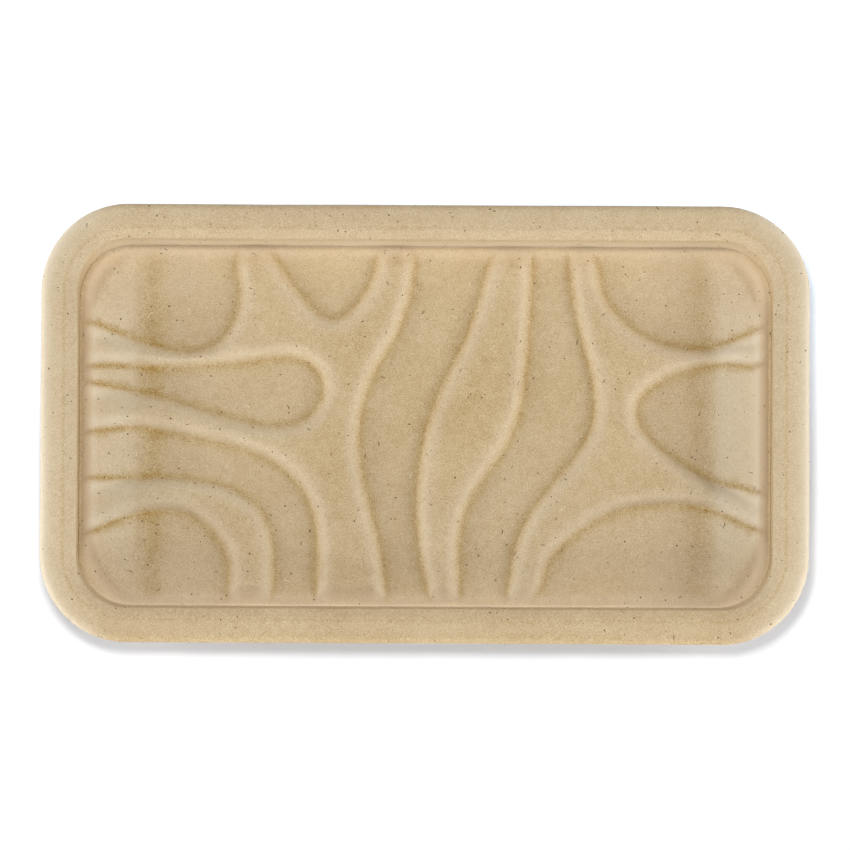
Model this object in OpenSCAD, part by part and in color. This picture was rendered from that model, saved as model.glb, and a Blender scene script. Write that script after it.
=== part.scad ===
// Moulded fibre meat tray: one thin pulp shell. Its rim turns down at the edge, a drain
// channel runs round the floor, and a raised network of ribs stands between low pockets.
// Millimetres, Z up, origin at the middle of the plane that the tray stands on.

/* [Tray] */
// Length over the rim
tray_l = 210; // [196:1:224]
// Width over the rim
tray_w = 120; // [112:1:130]
// Height from the table to the top of the rim
tray_h = 14; // [11:0.5:20]
// Thickness of the pulp wall
wall_t = 0.9; // [0.6:0.1:1.1]
// Radius of the outer corners
corner_r = 24; // [21:0.5:27]

/* [Rim] */
// Width of the rounded edge that turns down
roll_w = 2; // [1.8:0.1:2.6]
// Height of the turned-down edge
roll_h = 2.6; // [2.2:0.1:3.5]
// Inset of the crease between the flat land and the sloping band
crease_in = 6.6; // [5:0.1:8]
// Inset of the inner edge of the rim, where the wall starts
rim_in = 9.9; // [9.4:0.1:10.4]
// Drop of the sloping band from the crease to the inner edge
band_drop = 1; // [0.4:0.1:1.6]

/* [Floor] */
// Lean of the wall, measured across between its top and its foot
wall_lean = 0.5; // [0.4:0.1:0.9]
// Width of the flat bottom of the drain channel
channel_w = 0.5; // [0.5:0.1:0.8]
// Height of the pocket floors above the channel
pocket_h = 0.9; // [0.6:0.1:1.5]
// Height of the ribs above the pocket floors
rib_h = 2.6; // [1.8:0.1:3]
// Inset of the ends of the ribs at the long sides
side_in = 16.2; // [15.8:0.1:17]
// Inset of the crest that closes the floor at the short ends
end_in = 13.7; // [13.5:0.1:14.5]
// Radius of the corners of the ribbed floor
floor_r = 16; // [14:0.5:18]
// Length of the ramps that close the pockets at the short ends
ramp_l = 13.3; // [9:0.1:16]
// Width of the flat crest between the top of the ramps and the channel's slope
crest_w = 0.8; // [0.3:0.1:1]

/* [Ribs] */
// Width of the steep foot of a rib
foot_w = 0.7; // [0.6:0.1:0.9]
// Width of the rounded shoulder of a rib, from the steep foot to its flat top
shoulder_w = 1.9; // [1.5:0.1:2.1]
// Steps along each quarter of a rounded corner
corner_steps = 9; // [6:1:12]
// Steps along a pocket's outline, from one of its points to the next
curve_steps = 4; // [2:1:4]

/* [Hidden] */

pulp = [0.78, 0.69, 0.55];

// Grid that the points of the ribs' sides lie on, far finer than their facets
grid = 0.04;

// The pocket outlines are drawn on a tray of this size, and stretch with the real one.
drawn_size = [210, 120];

channel_z = wall_t;
floor_z = channel_z + pocket_h;
rib_z = floor_z + rib_h;
channel_in = rim_in + wall_lean;

// The upper surface from the middle of the floor out to the lower edge of the rim. Each
// entry is [inset at the ends, inset at the long sides, height, own corner radius or 0].
upper = [
    [end_in, side_in, rib_z, floor_r],
    [channel_in + channel_w, channel_in + channel_w, channel_z, (floor_r + corner_r - channel_in) / 2],
    [channel_in, channel_in, channel_z, 0],
    [rim_in, rim_in, tray_h - band_drop, 0],
    [crease_in, crease_in, tray_h, 0],
    [roll_w, roll_w, tray_h, 0],
    [0.45 * roll_w, 0.45 * roll_w, tray_h - 0.12 * roll_w, 0],
    [0.12 * roll_w, 0.12 * roll_w, tray_h - 0.45 * roll_w, 0],
    [0, 0, tray_h - roll_h, 0]
];

// A path's points moved sideways by a distance, with mitred corners, so that a wall
// keeps its thickness along the whole path.
function along(path, i) = let (d = path[i + 1] - path[i]) d / norm(d);
function left_of(d) = [-d.y, d.x];
function moved(path, by) = [
    for (i = [0:len(path) - 1])
        let (
            a = left_of(along(path, max(i - 1, 0))),
            b = left_of(along(path, min(i, len(path) - 2)))
        )
        path[i] + by * (a + b) / (1 + a * b)
];

// The section moved down or inwards through the wall by a distance.
function section(by) =
    let (
        ends = moved([for (p = upper) [p[0], p[2]]], by),
        sides = moved([for (p = upper) [p[1], p[2]]], by)
    )
    [for (i = [0:len(upper) - 1]) [ends[i].x, sides[i].x, sides[i].y, upper[i][3]]];

// A rounded rectangle at a section's entry, as points in space.
function ring(entry) =
    let (r = entry[3] > 0 ? entry[3] : corner_r - entry[1])
    [
        for (corner = [0:3], step = [0:corner_steps])
            let (
                a = 90 * (corner + step / corner_steps),
                sx = (corner == 0 || corner == 3) ? 1 : -1,
                sy = corner < 2 ? 1 : -1
            )
            [
                sx * (tray_l / 2 - entry[0] - r) + r * cos(a),
                sy * (tray_w / 2 - entry[1] - r) + r * sin(a),
                entry[2]
            ]
    ];

function reversed(list) = [for (i = [len(list) - 1:-1:0]) list[i]];

// A closed solid through rings with the same number of points, the first one lowest.
module loft(rings) {
    n = len(rings[0]);
    last = len(rings) - 1;
    polyhedron(
        points = [for (r = rings) each r],
        faces = concat(
            [[for (i = [0:n - 1]) i]],
            [
                for (k = [0:last - 1], i = [0:n - 1])
                    let (a = k * n + i, b = k * n + (i + 1) % n)
                    each [[a, a + n, b + n], [a, b + n, b]]
            ],
            [[for (i = [n - 1:-1:0]) last * n + i]]
        )
    );
}

// The whole sheet before the pockets are pressed into it.
module plain_tray() {
    loft(concat(
        [for (e = section(wall_t)) ring(e)],
        [for (e = reversed(upper)) ring(e)]
    ));
}

// The middle of the wall under the ribbed floor, as a solid that ends in the channel.
module floor_block() {
    mid = section(wall_t / 2);
    loft([ring(mid[1]), ring(mid[0])]);
}

// Pocket outlines, anticlockwise. Where a pocket is open at a side, its points run out
// over the channel, and the floor's own edge trims them.
corner_pocket_a = [
    [-98, 30.5], [-90, 27.2], [-80.5, 23.8], [-70, 20.8], [-62, 20.8], [-56, 23.5],
    [-52, 30], [-51, 37], [-52, 43], [-53.5, 51], [-76, 58], [-98, 51]
];
notch_b = [
    [-42, 50], [-39.5, 43.5], [-35, 37], [-30, 31.5], [-25.5, 29.5], [-21.5, 31],
    [-17.5, 35.5], [-14.5, 41], [-13.5, 46], [-13.5, 52], [-27, 56]
];
finger_c = [
    [-98, 15], [-98, 12.5], [-88, 10.6], [-80, 9.2], [-70, 7], [-60, 4], [-49, 1], [-40, 0],
    [-32.5, 2], [-28.5, 7.5], [-28.5, 13], [-32, 17], [-38, 18.5], [-50, 17.2],
    [-64, 15.9], [-76, 15.9], [-88, 16.4]
];
valley_d = [
    [-2, 54], [-3, 43], [-4.5, 34], [-8, 24.5], [-13, 16], [-16.5, 7], [-18, -3],
    [-17, -13], [-14.5, -24], [-12, -34], [-10.5, -45], [-10, -54], [2.5, -54],
    [0.5, -44], [-1.5, -34], [-2.3, -22], [-1.6, -11], [1, 1.5], [5.5, 13], [10.5, 23],
    [14, 33], [16.5, 42], [19, 54]
];
valley_e = [
    [29.5, 54], [29.2, 42], [28.6, 29], [27.7, 16], [26, 4], [22, -6], [16.5, -14],
    [11.8, -22], [9.7, -31], [9.6, -41], [11, -54], [21, -54], [23, -43], [24.8, -33],
    [29, -23.5], [35, -15.5], [41.5, -7.5], [45.7, 1], [46, 11], [43.5, 21],
    [41, 31], [39.5, 41], [37.5, 54]
];
corner_pocket_f = [
    [46, 54], [47.3, 44], [49, 36], [54, 29.3], [61, 24.5], [69, 22], [76, 21.5],
    [83, 23.2], [90, 26.2], [98, 31], [98, 51], [74, 58]
];
finger_g = [
    [98, 15], [88, 16.8], [79, 17], [70.5, 15], [63, 11.3], [58.6, 7],
    [58.5, 1.5], [62, -3.5], [68.5, -8.7], [76, -13.2], [84, -16.2], [98, -16]
];
corner_pocket_h = [
    [98, -32], [88, -26.8], [79, -22.9], [69, -21.3], [59, -22], [50, -24.4],
    [41, -30], [35, -36], [32.5, -43], [31.3, -54], [66, -58], [98, -50]
];
valley_i = [
    [-98, -4], [-98, -14], [-88, -15], [-76, -14.5], [-64, -14.8], [-53, -17.5],
    [-45.5, -22.5], [-41.8, -31], [-41.2, -42], [-42, -54], [-31, -54], [-29.7, -43],
    [-29.5, -33], [-30.7, -24], [-34.5, -16.5], [-41, -10.7], [-51, -6.4],
    [-64, -3.4], [-78, -0.8], [-88, -1.4]
];
corner_pocket_j = [
    [-98, -33.5], [-98, -51], [-76, -58], [-55.5, -54], [-53.8, -45], [-53.8, -37.5],
    [-57, -30.5], [-63, -25.3], [-70, -23.5], [-79, -24.6], [-88, -28]
];
pockets = [
    corner_pocket_a, notch_b, finger_c, valley_d, valley_e,
    corner_pocket_f, finger_g, corner_pocket_h, valley_i, corner_pocket_j
];

function stretched(points) = [
    for (p = points) [p.x * tray_l / drawn_size.x, p.y * tray_w / drawn_size.y]
];

// A closed smooth curve through points.
function smooth(points) =
    let (n = len(points))
    [
        for (i = [0:n - 1], s = [0:curve_steps - 1])
            let (
                t = s / curve_steps,
                p0 = points[(i + n - 1) % n],
                p1 = points[i],
                p2 = points[(i + 1) % n],
                p3 = points[(i + 2) % n]
            )
            (2 * p1 + (p2 - p0) * t + (2 * p0 - 5 * p1 + 4 * p2 - p3) * t * t
                + (3 * p1 - p0 - 3 * p2 + p3) * t * t * t) / 2
    ];

// An outline grown outwards by a distance, at a height. Its points lie on a fine grid.
function grown(outline, by, z) =
    let (n = len(outline))
    [
        for (i = [0:n - 1])
            let (
                d = outline[(i + 1) % n] - outline[(i + n - 1) % n],
                p = outline[i] + by * [d.y, -d.x] / norm(d)
            )
            [grid * round(p.x / grid), grid * round(p.y / grid), z]
    ];

// The side of a rib as [distance from its foot, height], with a stretch of the pocket's
// floor before it and one of the rib's flat top after it.
rib_side = [
    [-1, 0],
    [0, 0],
    [foot_w, 0.36 * rib_h],
    [foot_w + 0.48 * shoulder_w, 0.82 * rib_h],
    [foot_w + shoulder_w, rib_h],
    [foot_w + shoulder_w + 1, rib_h]
];

// A pocket with its sides moved sideways through the wall by a distance. It is carried on
// past the top of the ribs.
module pocket(points, by) {
    outline = smooth(stretched(points));
    moved_side = moved(rib_side, -by);
    side = [for (i = [1:len(rib_side) - 2]) moved_side[i]];
    top = side[len(side) - 1];
    loft([
        for (p = concat(side, [[top.x, rib_h + (by > 0 ? -0.25 : 1) * wall_t]]))
            grown(outline, p.x, floor_z + p.y)
    ]);
}

// The room over the pocket floors and over the ramps at the two ends, moved down through
// the wall by a distance.
module floor_room(by) {
    reach = tray_l / 2;
    crest_x = reach - end_in - crest_w;
    foot_x = crest_x - ramp_l;
    slope = rib_h / ramp_l;
    depth = 0.3;
    ramp_line = moved([
        [foot_x - depth / slope, floor_z - depth],
        [reach, floor_z + slope * (reach - foot_x)]
    ], -by);
    low = ramp_line[0];
    high = ramp_line[1];
    room_in = channel_in + channel_w + 0.25;
    intersection() {
        rotate([90, 0, 0])
            linear_extrude(height = tray_w, center = true)
                polygon([
                    [-high.x, high.y], [-low.x, low.y], low, high,
                    [reach + 1, 2 * tray_h], [-reach - 1, 2 * tray_h]
                ]);
        loft([
            ring([room_in, room_in, -tray_h, floor_r]),
            ring([room_in, room_in, tray_h, floor_r])
        ]);
    }
}

module tray() {
    color(pulp)
        // The tray is drawn at its full size, and this holds it to exactly that size.
        resize([tray_l, tray_w, tray_h])
            difference() {
                union() {
                    plain_tray();
                    intersection() {
                        floor_block();
                        floor_room(wall_t);
                        union() for (p = pockets) pocket(p, wall_t);
                    }
                }
                intersection() {
                    floor_room(0);
                    union() for (p = pockets) pocket(p, 0);
                }
            }
}

tray();
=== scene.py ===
"""Look scene of a shallow moulded fibre meat tray.

The tray is one thin sheet of recycled paper pulp. Inside the classes its lengths are in
millimetres, with the part's own names where it has them. Meshes, lamps and camera are in metres.
"""
import logging
import math
from dataclasses import dataclass, field
from enum import Enum

import bpy
import numpy as np
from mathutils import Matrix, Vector, noise
from mathutils.geometry import delaunay_2d_cdt


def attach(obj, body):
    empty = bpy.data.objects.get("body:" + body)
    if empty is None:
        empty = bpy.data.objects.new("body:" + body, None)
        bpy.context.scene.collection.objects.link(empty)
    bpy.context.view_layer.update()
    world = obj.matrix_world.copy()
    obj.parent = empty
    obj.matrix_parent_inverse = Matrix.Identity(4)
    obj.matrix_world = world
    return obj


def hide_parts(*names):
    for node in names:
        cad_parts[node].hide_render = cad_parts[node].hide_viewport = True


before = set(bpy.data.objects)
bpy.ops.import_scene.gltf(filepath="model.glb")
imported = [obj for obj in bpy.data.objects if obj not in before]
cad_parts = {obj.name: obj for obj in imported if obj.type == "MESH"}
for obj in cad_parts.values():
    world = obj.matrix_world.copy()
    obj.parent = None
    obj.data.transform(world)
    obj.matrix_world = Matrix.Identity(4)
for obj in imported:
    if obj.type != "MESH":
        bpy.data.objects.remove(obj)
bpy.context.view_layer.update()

MM = 0.001
log = logging.getLogger("tray")


def linear(hex_colour: str) -> tuple[float, float, float, float]:
    """Turn an sRGB hex colour into the linear values that shaders take.

    Args:
        hex_colour: A colour such as "#CDB58F".

    Returns:
        Red, green, blue and an alpha of 1.
    """
    values = [int(hex_colour[i:i + 2], 16) / 255 for i in (1, 3, 5)]
    return (*[v / 12.92 if v <= 0.04045 else ((v + 0.055) / 1.055) ** 2.4 for v in values], 1.0)


def add_node(tree: bpy.types.NodeTree, kind: str, values: dict | None = None,
             links: dict | None = None, **settings: object) -> bpy.types.Node:
    """Add one node with its settings, its constant inputs and its incoming links.

    Args:
        tree: The shader or geometry tree.
        kind: The node's type name.
        values: Input name or index to constant value.
        links: Input name or index to the output socket that feeds it.
        **settings: Properties of the node itself.

    Returns:
        The new node.
    """
    node = tree.nodes.new(kind)
    for name, value in settings.items():
        setattr(node, name, value)
    for name, value in (values or {}).items():
        node.inputs[name].default_value = value
    for name, output in (links or {}).items():
        tree.links.new(output, node.inputs[name])
    return node


def empty_tree(owner: bpy.types.ID) -> bpy.types.NodeTree:
    """Give a material or a world an empty node tree.

    Args:
        owner: The material or world.

    Returns:
        Its tree.
    """
    owner.use_nodes = True
    owner.node_tree.nodes.clear()
    return owner.node_tree


def put(name: str, data: bpy.types.ID) -> bpy.types.Object:
    """Put a new object at the scene's origin.

    Args:
        name: Its name.
        data: Its mesh, lamp or camera.

    Returns:
        The object.
    """
    made = bpy.data.objects.new(name, data)
    bpy.context.scene.collection.objects.link(made)
    return made


def report_mesh(mesh: bpy.types.Mesh) -> None:
    """Log how many triangles a mesh has."""
    mesh.calc_loop_triangles()
    log.info("%s: %d triangles", mesh.name, len(mesh.loop_triangles))


# The form.

Key = tuple[float, float, float]
Pair = tuple[float, float]
Outline = tuple[Pair, ...]

# How much of a straight stretch a rounding may take up where the next one shares it, and where
# it has the stretch to itself. A rounding turns by about ARC_STEP_DEG a step.
SHARED_REACH, LONE_REACH = 0.48, 0.9
ARC_STEP_DEG = 11
LEAST_RADIUS = 0.15

# Distance between the rows of a grid of equal triangles, for sides of 1.
ROW_RATIO = 0.866


@dataclass(frozen=True)
class TraySizes:
    """The tray's own sizes in millimetres."""

    tray_l: float = 210.0
    tray_w: float = 120.0
    tray_h: float = 14.0
    wall_t: float = 0.9
    corner_r: float = 24.0
    roll_w: float = 2.0
    roll_h: float = 2.6
    crease_in: float = 6.6
    rim_in: float = 9.9
    band_drop: float = 1.0
    wall_lean: float = 0.5
    pocket_h: float = 0.9
    rib_h: float = 2.6
    side_in: float = 16.2
    end_in: float = 13.7
    floor_r: float = 16.0
    ramp_l: float = 13.3
    crest_w: float = 0.8
    side_lean: float = 0.2
    side_round: float = 0.5
    side_round_h: float = 2.2
    seam_off: float = 0.4
    inner_widening: float = 1.1

    @property
    def channel_z(self) -> float:
        """Height of the bottom of the drain channel."""
        return self.wall_t

    @property
    def floor_z(self) -> float:
        """Height of the pocket floors."""
        return self.channel_z + self.pocket_h

    @property
    def rib_z(self) -> float:
        """Height of the tops of the ribs."""
        return self.floor_z + self.rib_h

    @property
    def channel_in(self) -> float:
        """Inset of the foot of the wall."""
        return self.rim_in + self.wall_lean

    @property
    def seam_in(self) -> float:
        """Inset of the lowest line of the channel, where the floor meets the rim's mesh."""
        return self.channel_in + self.seam_off

    @property
    def ramp_x(self) -> float:
        """Distance of the feet of the ramps from the tray's middle."""
        return self.tray_l / 2 - self.end_in - self.crest_w - self.ramp_l

    def side_inset(self, inset: float, z: float) -> float:
        """Inset at the long sides of a ring: there the wall leans more than at the ends, and
        the band rounds over into it."""
        depth = max(self.tray_h - self.band_drop - z, 0.0)
        along = min(max((inset - self.crease_in) / (self.rim_in - self.crease_in), 0.0), 1.0)
        rounding = self.side_round * along * along * (3 - 2 * along)
        rounding *= math.exp(-depth / self.side_round_h)
        lean = self.side_lean * depth / (self.tray_h - self.band_drop - self.channel_z)
        return inset + min(lean, self.side_lean) - rounding

    def corner_radius(self, inset: float) -> float:
        """Radius of the corners of a ring at an inset, wider again inside the wall."""
        inside = max(0.0, inset - self.rim_in)
        return self.corner_r - min(inset, self.rim_in) + self.inner_widening * inside


@dataclass(frozen=True)
class RingSteps:
    """How finely a ring of the sheet is divided."""

    corner: int = 24
    long_side: int = 100
    short_side: int = 44

    def ring(self, half_l: float, half_w: float, radius: float) -> np.ndarray:
        """Points of a rounded rectangle, anticlockwise seen from above.

        Args:
            half_l: Half its length.
            half_w: Half its width.
            radius: Radius of its corners.

        Returns:
            An array of x and y, one row a point.
        """
        centres = [(sx * (half_l - radius), sy * (half_w - radius))
                   for sx, sy in ((1, 1), (-1, 1), (-1, -1), (1, -1))]
        points: list[np.ndarray] = []
        for corner, (cx, cy) in enumerate(centres):
            angles = np.radians(90 * (corner + np.arange(self.corner + 1) / self.corner))
            arc = np.stack([cx + radius * np.cos(angles), cy + radius * np.sin(angles)], axis=1)
            nx, ny = centres[(corner + 1) % 4]
            turn = math.radians(90 * (corner + 1))
            end = np.array([nx + radius * math.cos(turn), ny + radius * math.sin(turn)])
            steps = self.long_side if corner % 2 == 0 else self.short_side
            share = (np.arange(1, steps) / steps)[:, None]
            points += [arc, arc[-1] + (end - arc[-1]) * share]
        return np.concatenate(points)


def rounded_path(keys: list[Key], longest: float) -> np.ndarray:
    """Round the corners of a path and divide its long stretches.

    Args:
        keys: Points as (across, up, radius of the rounding there).
        longest: The longest step that is left on a straight stretch.

    Returns:
        The points of the path, as an array of across and up.
    """
    points = [np.array(k[:2]) for k in keys]
    path = [points[0]]
    for i in range(1, len(points) - 1):
        before = points[i] - points[i - 1]
        after = points[i + 1] - points[i]
        u, v = before / np.linalg.norm(before), after / np.linalg.norm(after)
        turn = math.acos(float(np.clip(u @ v, -1, 1)))
        reach = min(keys[i][2] * math.tan(turn / 2),
                    (SHARED_REACH if i > 1 else LONE_REACH) * np.linalg.norm(before),
                    (SHARED_REACH if i < len(points) - 2 else LONE_REACH) * np.linalg.norm(after))
        start, stop = points[i] - u * reach, points[i] + v * reach
        steps = max(3, round(math.degrees(turn) / ARC_STEP_DEG))
        for k in range(steps + 1):
            t = k / steps
            path.append((1 - t) ** 2 * start + 2 * t * (1 - t) * points[i] + t * t * stop)
    path.append(points[-1])
    divided = [path[0]]
    for p, q in zip(path, path[1:]):
        pieces = max(1, math.ceil(np.linalg.norm(q - p) / longest))
        divided += [p + (q - p) * (k + 1) / pieces for k in range(pieces)]
    return np.array(divided)


def moved_keys(keys: list[Key], by: float) -> list[Key]:
    """Move a path of keys to its left by a distance, with mitred corners.

    Args:
        keys: Points as (across, up, radius).
        by: The distance.

    Returns:
        The moved keys, with each rounding grown or shrunk so that the wall stays even.
    """
    points = [np.array(k[:2]) for k in keys]
    ways = [(b - a) / np.linalg.norm(b - a) for a, b in zip(points, points[1:])]
    moved = []
    for i, key in enumerate(keys):
        a, b = ways[max(i - 1, 0)], ways[min(i, len(ways) - 1)]
        left_a, left_b = np.array([-a[1], a[0]]), np.array([-b[1], b[0]])
        place = points[i] + by * (left_a + left_b) / (1 + left_a @ left_b)
        turns_left = a[0] * b[1] - a[1] * b[0] > 0
        moved.append((*place, max(key[2] - by if turns_left else key[2] + by, LEAST_RADIUS)))
    return moved


@dataclass
class Rim:
    """The drain channel's outer half, the wall, the sloping band, the land and the rolled edge."""

    sizes: TraySizes
    steps: RingSteps
    longest: float = 1.3
    lip_r: float = 0.14
    lip_steps: int = 6

    def upper_keys(self) -> list[Key]:
        """Corners of the upper surface from the channel outwards, as inset, height, radius."""
        s = self.sizes
        return [
            (s.seam_in, s.channel_z, 0.0),
            (s.channel_in, s.channel_z, 0.8),
            (s.rim_in, s.tray_h - s.band_drop, 0.7),
            (s.crease_in + 0.5, s.tray_h - 0.17, 1.5),
            (s.crease_in - 0.3, s.tray_h - 0.1, 1.5),
            (s.crease_in - 1.2, s.tray_h, 2.0),
            (0.0, s.tray_h, s.roll_w),
            (0.0, s.tray_h - s.roll_h, 0.0),
        ]

    def rings(self) -> tuple[list[np.ndarray], list[np.ndarray]]:
        """Rings of points from the channel out over the edge and back under.

        Returns:
            The upper rings outwards and the lower rings inwards, each without the seam.
        """
        s = self.sizes
        keys = self.upper_keys()
        lower = moved_keys(keys, s.wall_t)
        lower[0] = (s.seam_in, 0.0, 0.0)
        upper_path = rounded_path(keys, self.longest)[1:]
        lower_path = rounded_path(lower, self.longest)[::-1][:-1]
        end_z = s.tray_h - s.roll_h
        lip = [(0.5 * s.wall_t * (1 - math.cos(a)), end_z + self.lip_r * (1 - math.sin(a)))
               for a in np.linspace(0, math.pi, self.lip_steps)]
        upper_path[-1][1] = end_z + self.lip_r
        inner_end = [[s.wall_t, end_z + self.lip_r]]
        lower_path = np.concatenate([np.array(lip)[1:-1], inner_end, lower_path[1:]])
        return [self.ring(*p) for p in upper_path], [self.ring(*p) for p in lower_path]

    def ring(self, inset: float, z: float) -> np.ndarray:
        """One ring of points in space at an inset and a height."""
        s = self.sizes
        flat = self.steps.ring(s.tray_l / 2 - inset, s.tray_w / 2 - s.side_inset(inset, z),
                               s.corner_radius(inset))
        return np.column_stack([flat, np.full(len(flat), z)])


POCKETS: dict[str, Outline] = {
    "corner_pocket_a": (
        (-98, 30.5), (-90, 27.2), (-80.5, 23.8), (-70, 20.8), (-62, 20.8), (-56, 23.5),
        (-52, 30), (-51, 37), (-52, 43), (-53.5, 51), (-76, 58), (-98, 51)),
    "notch_b": (
        (-42, 50), (-39.5, 43.5), (-35, 37), (-30, 31.5), (-25.5, 29.5), (-21.5, 31),
        (-17.5, 35.5), (-14.5, 41), (-13.5, 46), (-13.5, 52), (-27, 56)),
    "finger_c": (
        (-98, 15), (-98, 12.5), (-88, 10.6), (-80, 9.2), (-70, 7), (-60, 4), (-49, 1),
        (-40, 0), (-32.5, 2), (-28.5, 7.5), (-28.5, 13), (-32, 17), (-38, 18.5), (-50, 17.2),
        (-64, 15.9), (-76, 15.9), (-88, 16.4)),
    "valley_d": (
        (-2, 54), (-3, 43), (-4.5, 34), (-8, 24.5), (-13, 16), (-16.5, 7), (-18, -3),
        (-17, -13), (-14.5, -24), (-12, -34), (-10.5, -45), (-10, -54), (2.5, -54),
        (0.5, -44), (-1.5, -34), (-2.3, -22), (-1.6, -11), (1, 1.5), (5.5, 13), (10.5, 23),
        (14, 33), (16.5, 42), (19, 54)),
    "valley_e": (
        (29.5, 54), (29.2, 42), (28.6, 29), (27.7, 16), (26, 4), (22, -6), (16.5, -14),
        (11.8, -22), (9.7, -31), (9.6, -41), (11, -54), (21, -54), (23, -43), (24.8, -33),
        (29, -23.5), (35, -15.5), (41.5, -7.5), (45.7, 1), (46, 11), (43.5, 21), (41, 31),
        (39.5, 41), (37.5, 54)),
    "corner_pocket_f": (
        (46, 54), (47.3, 44), (49, 36), (54, 29.3), (61, 24.5), (69, 22), (76, 21.5),
        (83, 23.2), (90, 26.2), (98, 31), (98, 51), (74, 58)),
    "finger_g": (
        (98, 15), (88, 16.8), (79, 17), (70.5, 15), (63, 11.3), (58.6, 7), (58.5, 1.5),
        (62, -3.5), (68.5, -8.7), (76, -13.2), (84, -16.2), (98, -16)),
    "corner_pocket_h": (
        (98, -32), (88, -26.8), (79, -22.9), (69, -21.3), (59, -22), (50, -24.4), (41, -30),
        (35, -36), (32.5, -43), (31.3, -54), (66, -58), (98, -50)),
    "valley_i": (
        (-98, -4), (-98, -14), (-88, -15), (-76, -14.5), (-64, -14.8), (-53, -17.5),
        (-45.5, -22.5), (-41.8, -31), (-41.2, -42), (-42, -54), (-31, -54), (-29.7, -43),
        (-29.5, -33), (-30.7, -24), (-34.5, -16.5), (-41, -10.7), (-51, -6.4), (-64, -3.4),
        (-78, -0.8), (-88, -1.4)),
    "corner_pocket_j": (
        (-98, -33.5), (-98, -51), (-76, -58), (-55.5, -54), (-53.8, -45), (-53.8, -37.5),
        (-57, -30.5), (-63, -25.3), (-70, -23.5), (-79, -24.6), (-88, -28)),
}


def smooth_outline(points: Outline, step: float) -> np.ndarray:
    """A closed smooth curve through points, with even steps.

    Args:
        points: The points that it passes through.
        step: The length of its steps.

    Returns:
        Its points, as an array of x and y.
    """
    p1 = np.array(points, dtype=float)
    p0, p2, p3 = np.roll(p1, 1, axis=0), np.roll(p1, -1, axis=0), np.roll(p1, -2, axis=0)
    t = np.linspace(0, 1, 24, endpoint=False)[None, :, None]
    a, b, c, d = (p[:, None, :] for p in (p0, p1, p2, p3))
    fine = ((2 * b + (c - a) * t + (2 * a - 5 * b + 4 * c - d) * t ** 2
             + (3 * b - a - 3 * c + d) * t ** 3) / 2).reshape(-1, 2)
    closed = np.vstack([fine, fine[:1]])
    lengths = np.concatenate([[0], np.cumsum(np.linalg.norm(np.diff(closed, axis=0), axis=1))])
    count = max(12, round(lengths[-1] / step))
    places = np.linspace(0, lengths[-1], count, endpoint=False)
    return np.column_stack([np.interp(places, lengths, closed[:, k]) for k in (0, 1)])


def distance_to(points: np.ndarray, outline: np.ndarray) -> np.ndarray:
    """Distance of points from a closed outline, negative inside it.

    Args:
        points: Rows of x and y.
        outline: The outline's points in order.

    Returns:
        One distance a point.
    """
    start, stop = outline, np.roll(outline, -1, axis=0)
    edge = stop - start
    result = np.empty(len(points))
    for k in range(0, len(points), 4000):
        p = points[k:k + 4000, None, :]
        away = p - start
        share = np.clip((away * edge).sum(-1) / (edge * edge).sum(-1), 0, 1)
        near = np.linalg.norm(away - edge * share[..., None], axis=-1).min(axis=1)
        level = (start[:, 1] > p[..., 1]) != (stop[:, 1] > p[..., 1])
        rise = np.where(edge[:, 1] == 0, 1e-9, edge[:, 1])
        cross = start[:, 0] + (p[..., 1] - start[:, 1]) / rise * edge[:, 0]
        inside = (level & (p[..., 0] < cross)).sum(axis=1) % 2 == 1
        result[k:k + 4000] = np.where(inside, -near, near)
    return result


def soft_min(a: np.ndarray, b: np.ndarray, width: float) -> np.ndarray:
    """The lower of two heights, with a round change over a difference of width."""
    mix = np.clip(width - np.abs(a - b), 0, None) / width
    return np.minimum(a, b) - mix * mix * width / 4


def soft_max(a: np.ndarray, b: np.ndarray, width: float) -> np.ndarray:
    """The higher of two heights, with a round change over a difference of width."""
    return -soft_min(-a, -b, width)


def bump(value: np.ndarray, centre: float, width: float) -> np.ndarray:
    """A bell over a value: 1 at its centre, about a third one width away."""
    return np.exp(-((value - centre) / width) ** 2)


def eased(value: np.ndarray, low: float, high: float) -> np.ndarray:
    """A smooth step from 0 at the low value to 1 at the high one."""
    share = np.clip((value - low) / (high - low), 0, 1)
    return share * share * (3 - 2 * share)


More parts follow.
